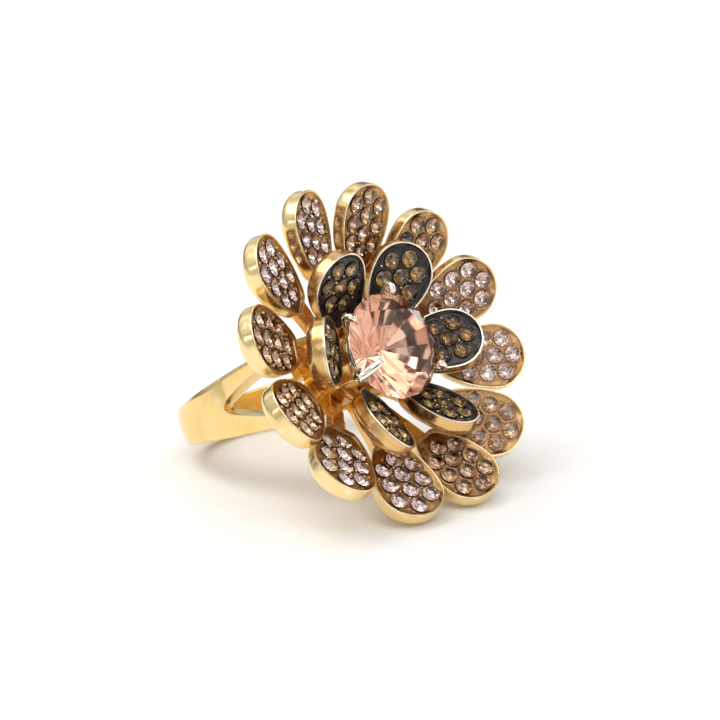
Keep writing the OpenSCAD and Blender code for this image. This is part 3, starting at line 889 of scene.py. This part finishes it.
R = rodrigues((-0.1731, 0.6839, 0.3102))
F_PX, DIST, CX, CY = 1777.4, 160.0, 396.78, 343.66
eye = np.array([0, 0, 18.995]) + R.T @ (np.array([0, 0, DIST]) - np.array([(CX - 360) * DIST / F_PX, -(CY - 360) * DIST / F_PX, 0]))
cam_data = bpy.data.cameras.new("camera")
cam_data.sensor_width = 36.0
cam_data.lens = F_PX / 720 * 36.0
cam_data.clip_start, cam_data.clip_end = 0.01, 20
cam = bpy.data.objects.new("camera", cam_data)
bpy.context.scene.collection.objects.link(cam)
axes = (R @ BASIS).T            # columns: right, up, back in the row frame
M = Matrix.Identity(4)
for r in range(3):
    for c in range(3):
        M[r][c] = axes[r][c]
    M[r][3] = to_row(eye)[0][r]
cam.matrix_world = M
bpy.context.scene.camera = cam

# ---------------------------------------------------------------- floor, world and lights
me = bpy.data.meshes.new("floor")
bm = bmesh.new()
bmesh.ops.create_grid(bm, x_segments=8, y_segments=8, size=3.0)
bm.to_mesh(me)
bm.free()
floor = bpy.data.objects.new("floor", me)
bpy.context.scene.collection.objects.link(floor)
m, nt, b = material("pale_floor")
n1 = node(nt, "ShaderNodeTexNoise", Scale=3.0, Detail=2.0)
nt.links.new(coords(nt, 1.0), n1.inputs["Vector"])
nt.links.new(ramp(nt, n1.outputs["Fac"], [(0.3, (0.935, 0.93, 0.92)), (0.7, (0.95, 0.945, 0.935))]), b.inputs["Base Color"])
b.inputs["Roughness"].default_value = 0.55
b.inputs["Specular IOR Level"].default_value = 0.15
me.materials.append(m)

world = bpy.data.worlds.new("studio")
bpy.context.scene.world = world
world.use_nodes = True
nt = world.node_tree
nt.nodes.clear()
out = nt.nodes.new("ShaderNodeOutputWorld")
tc = nt.nodes.new("ShaderNodeTexCoord")
sep = nt.nodes.new("ShaderNodeSeparateXYZ")
nt.links.new(tc.outputs["Generated"], sep.inputs[0])
up = ramp(nt, sep.outputs["Z"], [(0.0, grey(0.66)), (0.2, grey(0.58)), (0.55, grey(0.78)), (1.0, grey(0.95))])
n1 = node(nt, "ShaderNodeTexNoise", Scale=2.1, Detail=1.0)
nt.links.new(tc.outputs["Generated"], n1.inputs["Vector"])
dark = ramp(nt, n1.outputs["Fac"], [(0.40, grey(0.16)), (0.46, grey(0.85)), (0.60, grey(1.0)), (0.66, grey(1.5))])
mul = nt.nodes.new("ShaderNodeMix")
mul.data_type = "RGBA"
mul.blend_type = "MULTIPLY"
mul.inputs["Factor"].default_value = 1.0
nt.links.new(up, mul.inputs["A"])
nt.links.new(dark, mul.inputs["B"])
bg = nt.nodes.new("ShaderNodeBackground")
nt.links.new(mul.outputs["Result"], bg.inputs["Color"])
bg.inputs["Strength"].default_value = 1.0
white = nt.nodes.new("ShaderNodeBackground")
white.inputs["Color"].default_value = (1, 1, 1, 1)
lp = nt.nodes.new("ShaderNodeLightPath")
mx = nt.nodes.new("ShaderNodeMixShader")
nt.links.new(lp.outputs["Is Camera Ray"], mx.inputs[0])
nt.links.new(bg.outputs[0], mx.inputs[1])
nt.links.new(white.outputs[0], mx.inputs[2])
nt.links.new(mx.outputs[0], out.inputs[0])


def soft(name, towards, spread, strength, color=(1, 1, 1)):
    """Large soft source in direction towards, seen from the ring under the angle spread."""
    d = bpy.data.lights.new(name, "SUN")
    d.angle = math.radians(spread)
    d.energy = strength
    d.color = color
    o = bpy.data.objects.new(name, d)
    bpy.context.scene.collection.objects.link(o)
    o.rotation_mode = "QUATERNION"
    o.rotation_quaternion = Vector(towards).to_track_quat("Z", "Y")
    return o


soft("key", (-0.36, 0.26, 0.88), 42, 1.05, (1.0, 0.985, 0.965))
soft("fill", (-0.30, -0.55, 0.80), 36, 0.62, (1.0, 0.99, 0.98))
soft("side", (0.90, 0.10, 0.35), 16, 0.28, (1.0, 1.0, 1.0))
for k, d in enumerate([(-0.75, -0.35, 0.55), (-0.15, -0.85, 0.62), (-0.62, 0.25, 0.75), (0.25, -0.30, 0.92), (0.05, -0.95, 0.25), (-0.95, 0.15, 0.35)]):
    soft(f"spark_{k + 1}", d, 6, 0.045)

sc = bpy.context.scene
sc.view_settings.view_transform = "Standard"
sc.view_settings.look = "None"
sc.view_settings.exposure = 0.0
sc.cycles.use_denoising = True
sc.cycles.sample_clamp_indirect = 6.0
